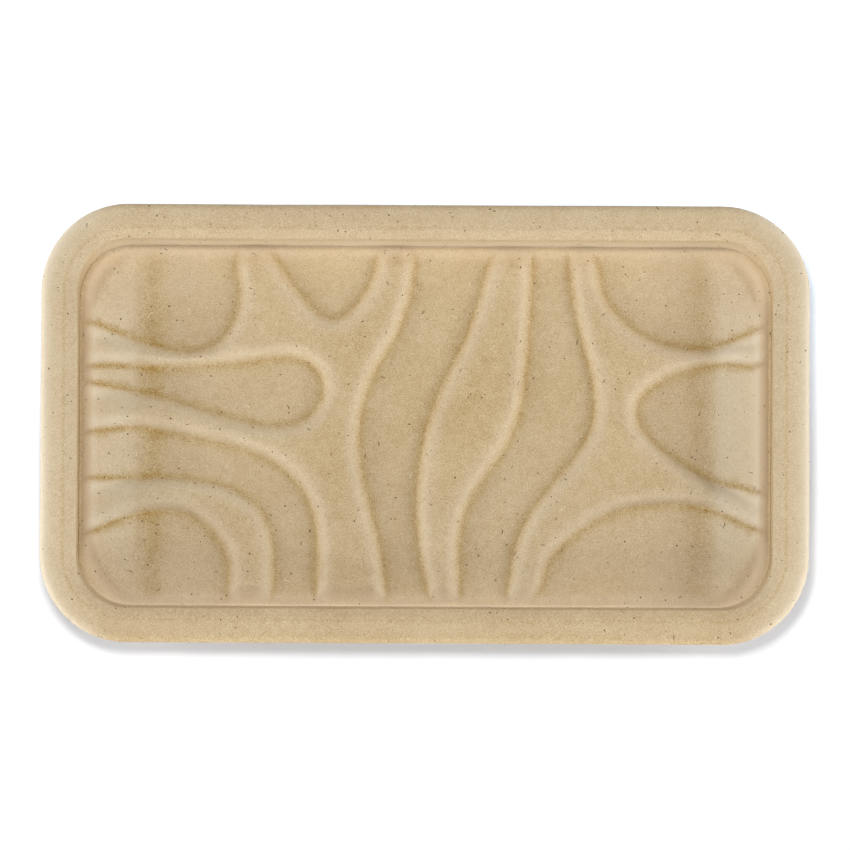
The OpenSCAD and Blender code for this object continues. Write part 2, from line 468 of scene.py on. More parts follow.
@dataclass(frozen=True)
class FloorPaintedLight:
    """Light and shade painted into the floor's colour: above 0 is a painted highlight, below 0 is
    painted shade.

    A tone is how strong a change is. A band is the middle and the width of a change, and a
    span is where one starts and where it is whole.
    """

    shoulder: float = 0.165
    shoulder_band: Pair = (2.2, 1.5)
    rib_foot: float = -0.18
    rib_foot_band: Pair = (-0.3, 0.9)
    rib_foot_by_ramp: float = -0.08
    by_ramp_w: float = 9
    rib_foot_on_ramp: float = -0.22
    on_ramp_w: float = 7
    all_over: float = -0.03
    crown: float = -0.05
    crown_span: Pair = (3.0, 7.0)
    ramp_foot: float = -0.08
    ramp_foot_left: float = -0.09
    ramp_foot_off: float = 3.0
    ramp_foot_w: float = 2.9
    pocket_end: Pair = (-0.8, 0.6)
    ramp: float = 0.24
    ramp_left: float = -0.07
    ramp_w: float = 4.3
    ramp_loss: float = -0.7
    ramp_loss_span: Pair = (28.0, 42.0)
    middle: float = -0.07
    middle_band_x: Pair = (8.0, 42.0)
    middle_band_y: Pair = (8.0, 22.0)
    short_side_span: Pair = (84.0, 92.0)
    channel: float = 0.22
    channel_end: float = 0.25
    channel_end_left: float = -0.15
    channel_band: Pair = (1.0, 1.9)
    seam: float = -0.16
    seam_band: Pair = (0.0, 0.8)
    slope: float = 0.16
    slope_on_rib: Pair = (-0.5, 1.5)
    slope_band: Pair = (3.2, 2.4)
    slope_span: Pair = (30.0, 40.0)
    corner: float = 0.08
    corner_span_x: Pair = (50.0, 66.0)
    corner_span_y: Pair = (30.0, 42.0)
    floor_span: Pair = (0.0, 3.0)


@dataclass
class RibbedFloor:
    """The floor inside the channel: low pockets between raised ribs, with ramps at the ends.

    The rings of its mesh lie at shares of the way from the channel to the ribs' tops, its
    lines at offsets from the pockets, and an even grid fills what is left.
    """

    sizes: TraySizes
    steps: RingSteps
    slope_steps: RingSteps = RingSteps(24, 150, 66)
    shares: tuple[float, ...] = (0.12, 0.24, 0.38, 0.55, 0.72, 0.88, 1.02, 1.2)
    offsets: tuple[float, ...] = (-0.8, -0.35, -0.1, 0.15, 0.45, 0.85, 1.35, 2.0, 2.8, 3.7, 4.7)
    offset_slack: float = 0.05
    edge_offset: float = 1.2
    along: float = 1.1
    fill: float = 2.0
    fill_share: float = 1.3
    ring_gap: Pair = (-0.3, 0.75)
    fill_gap: Pair = (-1.6, 5.6)
    seam_gap: float = 0.3
    blend: float = 0.5
    reach: float = 8.0
    least_slope_w: float = 0.5
    foot: float = 0.35
    flank_w: float = 1.5
    round_w: float = 2.7
    ramp_round: float = 0.7
    meet_round: float = 0.25
    crown_round: float = 0.3
    slope_round: float = 0.8
    slope_foot: float = 0.06
    normal_step: float = 0.03
    painted_light: FloorPaintedLight = FloorPaintedLight()
    outlines: list[np.ndarray] = field(init=False)

    def __post_init__(self) -> None:
        """Draw the pockets' smooth outlines."""
        self.outlines = [smooth_outline(points, self.along) for points in POCKETS.values()]

    def inside_of(self, xy: np.ndarray, end_in: float, side_in: float, radius: float) -> np.ndarray:
        """How far points lie inside a rounded rectangle."""
        half = np.array([self.sizes.tray_l / 2 - end_in, self.sizes.tray_w / 2 - side_in])
        q = np.abs(xy) - (half - radius)
        return radius - np.linalg.norm(np.clip(q, 0, None), axis=1) - np.minimum(q.max(axis=1), 0)

    def from_seam(self, xy: np.ndarray) -> np.ndarray:
        """How far points lie inside the lowest line of the channel."""
        s = self.sizes
        side_in = s.side_inset(s.seam_in, s.channel_z)
        return self.inside_of(xy, s.seam_in, side_in, s.corner_radius(s.seam_in))

    def slope_share(self, xy: np.ndarray) -> np.ndarray:
        """Share of the way from the channel (0) up to the edge of the ribs' tops (1), and on."""
        s = self.sizes
        outer = self.from_seam(xy)
        inner = self.inside_of(xy, s.end_in, s.side_in, s.floor_r)
        return outer / np.maximum(outer - inner, self.least_slope_w)

    def pocket_distance(self, xy: np.ndarray) -> np.ndarray:
        """Distance from the nearest pocket, rounded where two pockets are equally near."""
        total = np.zeros(len(xy))
        for outline in self.outlines:
            low, high = outline.min(axis=0) - self.reach, outline.max(axis=0) + self.reach
            near = ((xy > low) & (xy < high)).all(axis=1)
            if near.any():
                total[near] += np.exp(-distance_to(xy[near], outline) / self.blend)
        return -self.blend * np.log(np.maximum(total, math.exp(-self.reach / self.blend)))

    def rib_share(self, distance: np.ndarray) -> np.ndarray:
        """Share of the ribs' height at a distance from a pocket: a narrow hollow foot, a
        straight flank and a broad round shoulder."""
        foot = self.foot
        hollow = np.clip(distance + foot, 0, None) ** 2 / (4 * foot)
        out = np.where(distance > foot, distance, hollow)
        left = np.clip(self.flank_w + self.round_w - out, 0, None)
        bent = 1 - left ** 2 / (self.round_w * (2 * self.flank_w + self.round_w))
        straight = out / (self.flank_w + self.round_w / 2)
        return np.where(out < self.flank_w, straight, bent)

    def height(self, xy: np.ndarray) -> np.ndarray:
        """Height of the floor's upper surface over points."""
        s = self.sizes
        side = s.floor_z + s.rib_h * self.rib_share(self.pocket_distance(xy))
        up = (np.abs(xy[:, 0]) - s.ramp_x) * s.rib_h / s.ramp_l
        ramp = s.floor_z + soft_max(up, np.zeros(len(up)), self.ramp_round)
        crown = np.full(len(up), s.rib_z)
        ribs = soft_min(soft_max(side, ramp, self.meet_round), crown, self.crown_round)
        foot = self.slope_foot
        share = self.slope_share(xy) - foot
        rise = np.where(share > foot, share, np.clip(share + foot, 0, None) ** 2 / (4 * foot))
        slope = s.channel_z + (s.rib_z - s.channel_z) / (1 - foot) * rise
        return soft_min(slope, ribs, self.slope_round)

    def layout(self) -> tuple[list[np.ndarray], list[tuple[int, int]], int]:
        """Points of the floor's mesh, closer where the ribs bend, and the lines it must keep.

        Returns:
            The points, the pairs of points that stay joined, and how many are on the seam.
        """
        s = self.sizes
        side_in, radius = s.side_inset(s.seam_in, s.channel_z), s.corner_radius(s.seam_in)
        seam = self.steps.ring(s.tray_l / 2 - s.seam_in, s.tray_w / 2 - side_in, radius)
        points = [seam]
        lines = [(i, (i + 1) % len(seam)) for i in range(len(seam))]
        count = len(seam)
        for offset in self.offsets:
            for outline in self.outlines:
                way = np.roll(outline, -1, axis=0) - np.roll(outline, 1, axis=0)
                way /= np.linalg.norm(way, axis=1)[:, None]
                grown = outline + offset * np.column_stack([way[:, 1], -way[:, 0]])
                slack = self.offset_slack + self.offset_slack * abs(offset)
                kept = np.abs(self.pocket_distance(grown) - offset) < slack
                kept &= self.from_seam(grown) > self.seam_gap
                place = np.cumsum(kept) - 1 + count
                points.append(grown[kept])
                if 0 <= offset < self.edge_offset:
                    n = len(grown)
                    lines += [(int(place[i]), int(place[(i + 1) % n])) for i in range(n)
                              if kept[i] and kept[(i + 1) % n]]
                count += int(kept.sum())
        for share in self.shares:
            half_l = s.tray_l / 2 - s.seam_in - share * (s.end_in - s.seam_in)
            half_w = s.tray_w / 2 - side_in - share * (s.side_in - side_in)
            ring = self.slope_steps.ring(half_l, half_w, radius + share * (s.floor_r - radius))
            points.append(self.spaced(ring, self.ring_gap))
        columns = np.arange(-s.tray_l / 2, s.tray_l / 2, self.fill)
        rows = np.arange(-s.tray_w / 2, s.tray_w / 2, self.fill * ROW_RATIO)
        grid = np.concatenate([
            np.column_stack([columns + k % 2 * self.fill / 2, np.full(len(columns), y)])
            for k, y in enumerate(rows)])
        grid = grid[self.slope_share(grid) > self.fill_share]
        points.append(self.spaced(grid, self.fill_gap))
        return points, lines, len(seam)

    def spaced(self, xy: np.ndarray, gap: Pair) -> np.ndarray:
        """The points that don't crowd the closely set lines beside the pockets.

        Args:
            xy: Rows of x and y.
            gap: The distances from a pocket between which points are left out.

        Returns:
            The points that stay.
        """
        away = self.pocket_distance(xy)
        return xy[(away < gap[0]) | (away > gap[1])]

    def mesh(self) -> tuple[np.ndarray, np.ndarray, np.ndarray, np.ndarray]:
        """The floor's triangles with the points of both of its faces.

        Returns:
            Upper points, lower points, triangles seen from above, and the seam's points.
        """
        s = self.sizes
        points, lines, seam = self.layout()
        flat = np.concatenate(points)
        inside_seam, same_point = 1, 1e-4
        made, _, faces, sources, _, _ = delaunay_2d_cdt(
            [Vector(p) for p in flat], lines, [], inside_seam, same_point, True)
        xy = np.array([(v.x, v.y) for v in made])
        places = np.full(seam, -1)
        for index, source in enumerate(sources):
            for k in source:
                if k < seam:
                    places[k] = index
                    xy[index] = flat[k]
        triangles = np.array(faces)
        a, b, c = (xy[triangles[:, k]] for k in range(3))
        area = (b - a)[:, 0] * (c - a)[:, 1] - (b - a)[:, 1] * (c - a)[:, 0]
        triangles[area < 0] = triangles[area < 0][:, ::-1]
        z = self.height(xy)
        step = self.normal_step
        slope = np.column_stack([
            (self.height(xy + d) - self.height(xy - d)) / (2 * step)
            for d in (np.array([step, 0]), np.array([0, step]))])
        up = np.column_stack([-slope, np.ones(len(xy))])
        up /= np.linalg.norm(up, axis=1)[:, None]
        upper = np.column_stack([xy, z])
        upper[places, 2] = s.channel_z
        up[places] = (0, 0, 1)
        return upper, upper - s.wall_t * up, triangles, places

    def painted_shading(self, upper: np.ndarray) -> np.ndarray:
        """How much light and shade is painted on the floor's points: painted highlights on the
        shoulders, channel and ramps, painted shade at the feet of the ribs and of the ramps.

        Args:
            upper: Rows of x, y and z.

        Returns:
            One value a point, 0 where the pulp has its own tone.
        """
        w, ramp_x = self.painted_light, self.sizes.ramp_x
        xy = upper[:, :2]
        x, y = np.abs(xy[:, 0]), np.abs(xy[:, 1])
        away, inside = self.pocket_distance(xy), self.from_seam(xy)
        left = np.where(xy[:, 0] < 0, 1.0, 0.0)
        # Painted highlight on the rib shoulders, painted shade at the rib feet (deeper by and on
        # the ramps) and on the rib tops.
        rib_foot = (w.rib_foot + w.rib_foot_by_ramp * eased(x, ramp_x - w.by_ramp_w, ramp_x)
                    + w.rib_foot_on_ramp * eased(x, ramp_x, ramp_x + w.on_ramp_w))
        ribs = (w.shoulder * bump(away, *w.shoulder_band) + rib_foot * bump(away, *w.rib_foot_band)
                + w.all_over + w.crown * eased(away, *w.crown_span))
        # Painted shade at the feet of the ramps, deeper on the left.
        ramp_foot = ((w.ramp_foot + w.ramp_foot_left * left)
                     * bump(x, ramp_x - w.ramp_foot_off, w.ramp_foot_w)
                     * (1 - eased(away, *w.pocket_end)))
        # Painted highlight on the ramps, less on the left and fading towards the long sides.
        level = 1 + w.ramp_loss * eased(y, *w.ramp_loss_span)
        ramp = (w.ramp + w.ramp_left * left) * eased(x, ramp_x, ramp_x + w.ramp_w) * level
        # Painted shade in the middle of the floor.
        middle = w.middle * bump(xy[:, 0], *w.middle_band_x) * bump(xy[:, 1], *w.middle_band_y)
        short = eased(x, *w.short_side_span)
        # Painted light in the channel, stronger at the short ends but less at the left one, with
        # painted shade along the seam there.
        at, width = w.channel_band
        channel = ((w.channel + (w.channel_end + w.channel_end_left * left) * short)
                   * bump(inside, at + short, width))
        channel += w.seam * short * bump(inside, *w.seam_band)
        # Painted highlight on the slopes up from the channel on the near side, and in the corners.
        slope = w.slope * eased(away, *w.slope_on_rib) * bump(inside, *w.slope_band)
        slope *= eased(-xy[:, 1], *w.slope_span)
        slope += w.corner * eased(x, *w.corner_span_x) * eased(y, *w.corner_span_y)
        floor = (ribs + ramp_foot + ramp + middle) * eased(inside, *w.floor_span)
        return floor + channel + slope


@dataclass(frozen=True)
class Unevenness:
    """How far pulp strays from its mould as it dries: the size of each kind of patch, its slice
    through the noise, and how far it moves the rim, the floor and the edge."""

    broad_mm: float = 31
    broad_slice: float = 4.2
    small_mm: float = 9
    small_slice: float = 9.7
    edge_mm: float = 26
    edge_slice: float = 1.3
    high_from: float = 3.0
    high_over: float = 7.0
    rim_drop: float = 0.09
    rim_broad: float = 0.12
    rim_small: float = 0.05
    floor_in: float = 17
    floor_over: float = 6
    floor_broad: float = 0.07
    floor_small: float = 0.035
    edge_pull: float = 0.07
    edge_change: float = 0.10


@dataclass(frozen=True)
class RimPaintedLight:
    """Light and shade painted into the rim's colour: above 0 is a painted highlight, below 0 is
    painted shade.
    """

    all_over: float = 0.02
    short_side: float = 0.06
    short_side_roll: float = 0.36
    short_side_span: Pair = (82.0, 98.0)
    near_side: float = -0.05
    near_side_roll: float = -0.06
    near_side_span: Pair = (42.0, 52.0)
    roll_w: float = 2.4
    crease: float = -0.07
    crease_end: float = -0.07
    crease_off: float = 0.3
    crease_w: float = 0.75
    wall: float = 0.27
    wall_end: float = -0.30
    band_span: Pair = (8.0, 12.5)


@dataclass
class PulpSheet:
    """The whole moulded sheet: floor and rim as one closed skin of even thickness."""

    sizes: TraySizes = TraySizes()
    steps: RingSteps = RingSteps()
    uneven: Unevenness = Unevenness()
    painted_light: RimPaintedLight = RimPaintedLight()

    def settle(self, points: np.ndarray) -> np.ndarray:
        """Give points the slight unevenness of pulp that dried on its mould.

        Args:
            points: Rows of x, y and z.

        Returns:
            The moved points. The foot that it stands on stays flat, and nothing grows.
        """
        s, u = self.sizes, self.uneven
        settled = points.copy()
        for i, (x, y, z) in enumerate(points):
            high = min(max((z - u.high_from) / u.high_over, 0.0), 1.0)
            broad = noise.noise(Vector((x / u.broad_mm, y / u.broad_mm, u.broad_slice)))
            small = noise.noise(Vector((x / u.small_mm, y / u.small_mm, u.small_slice)))
            settled[i, 2] -= high * (u.rim_drop + u.rim_broad * broad + u.rim_small * small)
            middle = (s.tray_w / 2 - u.floor_in - abs(y)) / u.floor_over
            middle = min(max(middle, 0.0), 1.0) * (1 - high)
            settled[i, 2] += middle * (u.floor_broad * broad + u.floor_small * small)
            along = noise.noise(Vector((x / u.edge_mm, y / u.edge_mm, u.edge_slice)))
            edge = u.edge_pull + u.edge_change * along
            settled[i, 0] -= high * edge * x / (s.tray_l / 2)
            settled[i, 1] -= high * edge * y / (s.tray_w / 2)
        return settled

    def rim_painted_shading(self, ring: np.ndarray) -> np.ndarray:
        """How much light and shade is painted on the points of a ring of the rim: painted
        highlights at the short ends, in the channel and along the rolled edge there, painted shade
        along the near side and the crease.

        Args:
            ring: Rows of x, y and z, all at one inset.

        Returns:
            One value a point.
        """
        s, w = self.sizes, self.painted_light
        inset = s.tray_l / 2 - ring[:, 0].max()
        short = eased(np.abs(ring[:, 0]), *w.short_side_span)
        near = eased(-ring[:, 1], *w.near_side_span)
        high = eased(ring[:, 2], *w.band_span)
        roll = math.exp(-(inset / w.roll_w) ** 2)
        crease = max(0.0, 1 - abs(inset - s.crease_in + w.crease_off) / w.crease_w)
        # Painted highlights at the short ends and along their rolled edge, painted shade along the
        # near side and the crease.
        top = (short * (w.short_side + w.short_side_roll * roll)
               + near * (w.near_side + w.near_side_roll * roll) + w.all_over
               + (w.crease + w.crease_end * short) * crease)
        # Painted light on the wall and in the channel below the band, all but gone at the short
        # ends.
        return high * top + (1 - high) * (w.wall + w.wall_end * short)

    def build(self) -> bpy.types.Object:
        """Make the sheet's mesh object.

        Returns:
            The object, at the origin, with its place in its mesh.
        """
        floor = RibbedFloor(self.sizes, self.steps)
        upper, lower, triangles, seam = floor.mesh()
        outward, inward = Rim(self.sizes, self.steps).rings()
        floor_count = len(upper)
        rings = outward + inward
        points = np.concatenate([upper, lower, *rings])
        # Painted light and shade for every point of the sheet.
        painted_shading = np.concatenate([floor.painted_shading(upper)] * 2 + [self.rim_painted_shading(r) for r in rings])
        loops = [seam]
        for k in range(len(rings)):
            start = 2 * floor_count + k * len(seam)
            loops.append(np.arange(start, start + len(seam)))
        loops.append(seam + floor_count)
        faces = triangles.tolist() + (triangles[:, ::-1] + floor_count).tolist()
        for near, far in zip(loops, loops[1:]):
            quads = np.column_stack([near, far, np.roll(far, -1), np.roll(near, -1)])
            faces += quads.tolist()
        mesh = bpy.data.meshes.new("pulp_sheet")
        mesh.from_pydata((self.settle(points) * MM).tolist(), [], faces)
        # Keeps the painted light and shade as a point attribute for the material.
        tone = mesh.attributes.new("painted_shading", "FLOAT", "POINT")
        tone.data.foreach_set("value", painted_shading.astype(np.float32))
        mesh.shade_smooth()
        report_mesh(mesh)
        return put("pulp_sheet", mesh)


# The finishes.

@dataclass(frozen=True)
class MouldedPulp:
    """Recycled paper pulp, felted on a wire mould and dried in the open: quite matt, softly
    uneven in tone, with short fibres and grit showing in the face."""

    name: str = "moulded_pulp"
    light: str = "#DDCAA7"
    dark: str = "#C0A67F"
    grit: str = "#7B6346"
    # Pale tone that painted highlights mix towards; painted shade mixes away from it.
    shading_pale: str = "#F0E4CE"
    shading_share: float = 1.5
    roughness: float = 0.92
    ior: float = 1.45
    gloss: float = 0.25
    cloud_mm: float = 17.0
    mottle_mm: float = 2.4
    fibre_mm: float = 0.75
    grain_mm: float = 0.31
    tone_base: float = -2.2
    tone_shares: tuple[float, ...] = (2.6, 1.5, 0.75, 0.55)
    relief_mm: float = 0.055
    relief_shares: tuple[float, ...] = (0.55, 0.8, 0.9)
    grit_cell_mm: float = 1.5
    grit_largest: float = 0.26
    grit_missing: float = 0.10
    grit_share: float = 0.42

    def build(self) -> bpy.types.Material:
        """Make the material on Object coordinates.

        Returns:
            The material.
        """
        material = bpy.data.materials.new(self.name)
        tree = empty_tree(material)
        place = add_node(tree, "ShaderNodeTexCoord").outputs["Object"]

        def patches(size_mm: float, detail: float, twist: float = 0.0) -> bpy.types.NodeSocket:
            """Noise whose patches are about a size in millimetres across."""
            return add_node(tree, "ShaderNodeTexNoise", links={"Vector": place}, values={
                "Scale": 1 / (size_mm * MM), "Detail": detail, "Roughness": 0.6,
                "Distortion": twist}).outputs["Fac"]

        def scaled(source: bpy.types.NodeSocket, share: float,
                   other: bpy.types.NodeSocket | float = 0.0) -> bpy.types.NodeSocket:
            """A share of one value, added to another value or number."""
            node = add_node(tree, "ShaderNodeMath", operation="MULTIPLY_ADD",
                            links={0: source}, values={1: share})
            if isinstance(other, bpy.types.NodeSocket):
                tree.links.new(other, node.inputs[2])
            else:
                node.inputs[2].default_value = other
            return node.outputs[0]

        kinds = (patches(self.grain_mm, 2.0), patches(self.fibre_mm, 2.5, 2.2),
                 patches(self.mottle_mm, 3.0, 0.6), patches(self.cloud_mm, 2.0))

        def summed(shares: tuple[float, ...], base: float) -> bpy.types.NodeSocket:
            """The kinds of patches from the finest on, each with its share, added to a base."""
            total: bpy.types.NodeSocket | float = base
            for kind, share in zip(kinds, shares):
                total = scaled(kind, share, total)
            return total

        tone = summed(self.tone_shares, self.tone_base)
        ramp = add_node(tree, "ShaderNodeMix", data_type="RGBA", clamp_factor=True, links={0: tone},
                        values={6: linear(self.dark), 7: linear(self.light)}).outputs[2]
        # Painted light and shade from the sheet's point attribute: the colour is mixed towards the
        # pale tone for painted highlights and away from it for painted shade.
        painted_amount = add_node(tree, "ShaderNodeAttribute", attribute_type="GEOMETRY",
                        attribute_name="painted_shading").outputs["Fac"]
        shaded_colour = add_node(tree, "ShaderNodeMix", data_type="RGBA", clamp_factor=False,
                        links={0: scaled(painted_amount, self.shading_share), 6: ramp},
                        values={7: linear(self.shading_pale)}).outputs[2]
        cells = add_node(tree, "ShaderNodeTexVoronoi", links={"Vector": place},
                         values={"Scale": 1 / (self.grit_cell_mm * MM), "Randomness": 1.0})
        chance = add_node(tree, "ShaderNodeSeparateColor",
                          links={0: cells.outputs["Color"]}).outputs[0]
        size = scaled(chance, self.grit_largest, -self.grit_missing)
        spot = add_node(tree, "ShaderNodeMath", operation="LESS_THAN",
                        links={0: cells.outputs["Distance"], 1: size}).outputs[0]
        colour = add_node(tree, "ShaderNodeMix", data_type="RGBA",
                          links={0: scaled(spot, self.grit_share), 6: shaded_colour},
                          values={7: linear(self.grit)}).outputs[2]
        relief = add_node(tree, "ShaderNodeBump",
                          links={"Height": summed(self.relief_shares, 0.0)},
                          values={"Strength": 1.0, "Distance": self.relief_mm * MM})
        shader = add_node(tree, "ShaderNodeBsdfPrincipled",
                          links={"Base Color": colour, "Normal": relief.outputs[0]},
                          values={"Roughness": self.roughness, "IOR": self.ior,
                                  "Specular IOR Level": self.gloss})
        add_node(tree, "ShaderNodeOutputMaterial", links={0: shader.outputs[0]})
        return material


@dataclass(frozen=True)
class StrayFibre:
    """A bit of ink-stained or unbeaten fibre in the pulp: matt, one tone with a slight mottle."""

    name: str
    tone: str
    shade: str
    mottle_mm: float = 3
    roughness: float = 0.9
    gloss: float = 0.2

    def build(self) -> bpy.types.Material:
        """Make the material on Object coordinates.

        Returns:
            The material.
        """
        material = bpy.data.materials.new(self.name)
        tree = empty_tree(material)
        place = add_node(tree, "ShaderNodeTexCoord").outputs["Object"]
        change = add_node(tree, "ShaderNodeTexNoise", links={"Vector": place}, values={
            "Scale": 1 / (self.mottle_mm * MM), "Detail": 1.0}).outputs["Fac"]
        colour = add_node(tree, "ShaderNodeMix", data_type="RGBA", links={0: change},
                          values={6: linear(self.tone), 7: linear(self.shade)}).outputs[2]
        shader = add_node(tree, "ShaderNodeBsdfPrincipled", links={"Base Color": colour},
                          values={"Roughness": self.roughness, "Specular IOR Level": self.gloss})
        add_node(tree, "ShaderNodeOutputMaterial", links={0: shader.outputs[0]})
        return material


class BitShape(Enum):
    """What a stray bit in the pulp looks like."""

    SPECK = "speck"
    STRAND = "strand"


@dataclass(frozen=True)
class StrayBits:
    """Stray bits that lie in the sheet's face, spread by a Geometry Nodes tree."""

    name: str
    shape: BitShape
    finish: StrayFibre
    per_m2: float
    length_mm: float
    width_mm: float
    bend: float
    seed: int
    flatness: float = 0.35
    smallest: float = 0.45
    largest: float = 1.35
    lowest_mm: float = 0.4
    curve_steps: int = 6
    sides: int = 5

    def unit(self, tree: bpy.types.NodeTree, length: bpy.types.NodeSocket,
             width: bpy.types.NodeSocket) -> bpy.types.NodeSocket:
        """One bit at its own size, lying along X.

        Args:
            tree: The geometry tree.
            length: The socket that gives its length.
            width: The socket that gives its width.

        Returns:
            The socket with its mesh.
        """
        def times(source: bpy.types.NodeSocket, factor: float) -> bpy.types.NodeSocket:
            """A length times a number."""
            return add_node(tree, "ShaderNodeMath", operation="MULTIPLY", links={0: source},
                            values={1: factor}).outputs[0]

        half = times(width, 0.5)
        if self.shape is BitShape.SPECK:
            ball = add_node(tree, "GeometryNodeMeshIcoSphere", links={"Radius": half},
                            values={"Subdivisions": 2}).outputs[0]
            ratio = add_node(tree, "ShaderNodeMath", operation="DIVIDE",
                             links={0: length, 1: width}).outputs[0]
            stretch = add_node(tree, "ShaderNodeCombineXYZ", links={0: ratio},
                               values={1: 1.0, 2: self.flatness}).outputs[0]
            return add_node(tree, "GeometryNodeTransform",
                            links={"Geometry": ball, "Scale": stretch}).outputs[0]
        start, middle, stop = (
            add_node(tree, "ShaderNodeCombineXYZ", links=links).outputs[0] for links in (
                {0: times(length, -0.5)}, {1: times(length, self.bend)}, {0: times(length, 0.5)}))
        curve = add_node(tree, "GeometryNodeCurveQuadraticBezier",
                         values={"Resolution": self.curve_steps},
                         links={"Start": start, "Middle": middle, "End": stop}).outputs[0]
        profile = add_node(tree, "GeometryNodeCurvePrimitiveCircle", links={"Radius": half},
                           values={"Resolution": self.sides}).outputs[0]
        swept = add_node(tree, "GeometryNodeCurveToMesh",
                         links={"Curve": curve, "Profile Curve": profile},
                         values={"Fill Caps": True}).outputs[0]
        return add_node(tree, "GeometryNodeTransform", links={"Geometry": swept},
                        values={"Scale": (1.0, 1.0, self.flatness)}).outputs[0]

    def tree(self, material: bpy.types.Material) -> tuple[bpy.types.NodeTree, dict[str, str]]:
        """Build the tree that spreads the bits over a mesh.

        Args:
            material: What the bits are dressed in.

        Returns:
            The tree, and its inputs' identifiers by name.
        """
        tree = bpy.data.node_groups.new(self.name, "GeometryNodeTree")
        sockets = {}
        tree.interface.new_socket("Geometry", in_out="INPUT", socket_type="NodeSocketGeometry")
        for label, kind in (("Per Area", "NodeSocketFloat"), ("Length", "NodeSocketFloat"),
                            ("Width", "NodeSocketFloat"), ("Lowest", "NodeSocketFloat"),
                            ("Seed", "NodeSocketInt")):
            made = tree.interface.new_socket(label, in_out="INPUT", socket_type=kind)
            sockets[label] = made.identifier
        tree.interface.new_socket("Geometry", in_out="OUTPUT", socket_type="NodeSocketGeometry")
        entry = add_node(tree, "NodeGroupInput").outputs
        at = add_node(tree, "GeometryNodeInputPosition").outputs[0]
        level = add_node(tree, "ShaderNodeSeparateXYZ", links={0: at}).outputs[2]
        above = add_node(tree, "FunctionNodeCompare", data_type="FLOAT", operation="GREATER_THAN",
                         links={0: level, 1: entry["Lowest"]}).outputs[0]
        spread = add_node(tree, "GeometryNodeDistributePointsOnFaces", distribute_method="RANDOM",
                          links={"Mesh": entry["Geometry"], "Density": entry["Per Area"],
                                 "Selection": above, "Seed": entry["Seed"]})
        turn = add_node(tree, "FunctionNodeRandomValue", data_type="FLOAT",
                        values={2: 0.0, 3: math.tau}, links={"Seed": entry["Seed"]}).outputs[1]
        spin = add_node(tree, "FunctionNodeAxisAngleToRotation", values={"Axis": (0, 0, 1)},
                        links={"Angle": turn}).outputs[0]
        lie = add_node(tree, "FunctionNodeRotateRotation", rotation_space="LOCAL",
                       links={"Rotation": spread.outputs["Rotation"], "Rotate By": spin}).outputs[0]
        grow = add_node(tree, "FunctionNodeRandomValue", data_type="FLOAT",
                        values={2: self.smallest, 3: self.largest},
                        links={"Seed": entry["Seed"]}).outputs[1]
        size = add_node(tree, "ShaderNodeCombineXYZ", links={0: grow, 1: grow, 2: grow}).outputs[0]
        placed = add_node(tree, "GeometryNodeInstanceOnPoints", links={
            "Points": spread.outputs["Points"],
            "Instance": self.unit(tree, entry["Length"], entry["Width"]),
            "Rotation": lie, "Scale": size}).outputs[0]
        real = add_node(tree, "GeometryNodeRealizeInstances", links={0: placed}).outputs[0]
        dressed = add_node(tree, "GeometryNodeSetMaterial", links={"Geometry": real},
                           values={"Material": material}).outputs[0]
        add_node(tree, "NodeGroupOutput", links={0: dressed})
        return tree, sockets

    def build(self, sheet: bpy.types.Object) -> bpy.types.Object:
        """Spread the bits over the sheet and keep them as a plain mesh.

        Args:
            sheet: The moulded sheet.

        Returns:
            The object that holds the bits.
        """
        material = self.finish.build()
        tree, sockets = self.tree(material)
        carrier = put(self.name + "_carrier", sheet.data)
        modifier = carrier.modifiers.new("spread", "NODES")
        modifier.node_group = tree
        modifier[sockets["Per Area"]] = float(self.per_m2)
        modifier[sockets["Length"]] = self.length_mm * MM
        modifier[sockets["Width"]] = self.width_mm * MM
        modifier[sockets["Lowest"]] = self.lowest_mm * MM
        modifier[sockets["Seed"]] = self.seed
        graph = bpy.context.evaluated_depsgraph_get()
        graph.update()
        mesh = bpy.data.meshes.new_from_object(carrier.evaluated_get(graph))
        carrier.modifiers.clear()
        bpy.data.objects.remove(carrier)
        mesh.name = self.name
        report_mesh(mesh)
        return put(self.name, mesh)


# The studio.

@dataclass(frozen=True)
class SoftBox:
    """A soft lamp, wide or square, that looks at the tray."""

    name: str
    place: tuple[float, float, float]
    width: float
    height: float
    power: float
    aim: tuple[float, float, float] = (0.0, 0.0, 0.007)

    def build(self) -> bpy.types.Object:
        """Hang the lamp.

        Returns:
            The lamp's object.
        """
        lamp = bpy.data.lights.new(self.name, "AREA")
        lamp.shape = "RECTANGLE"
        lamp.size = self.width
        lamp.size_y = self.height
        lamp.energy = self.power
        hung = put(self.name, lamp)
        hung.location = self.place
        way = Vector(self.aim) - Vector(self.place)
        hung.rotation_euler = way.to_track_quat("-Z", "Y").to_euler()
        return hung


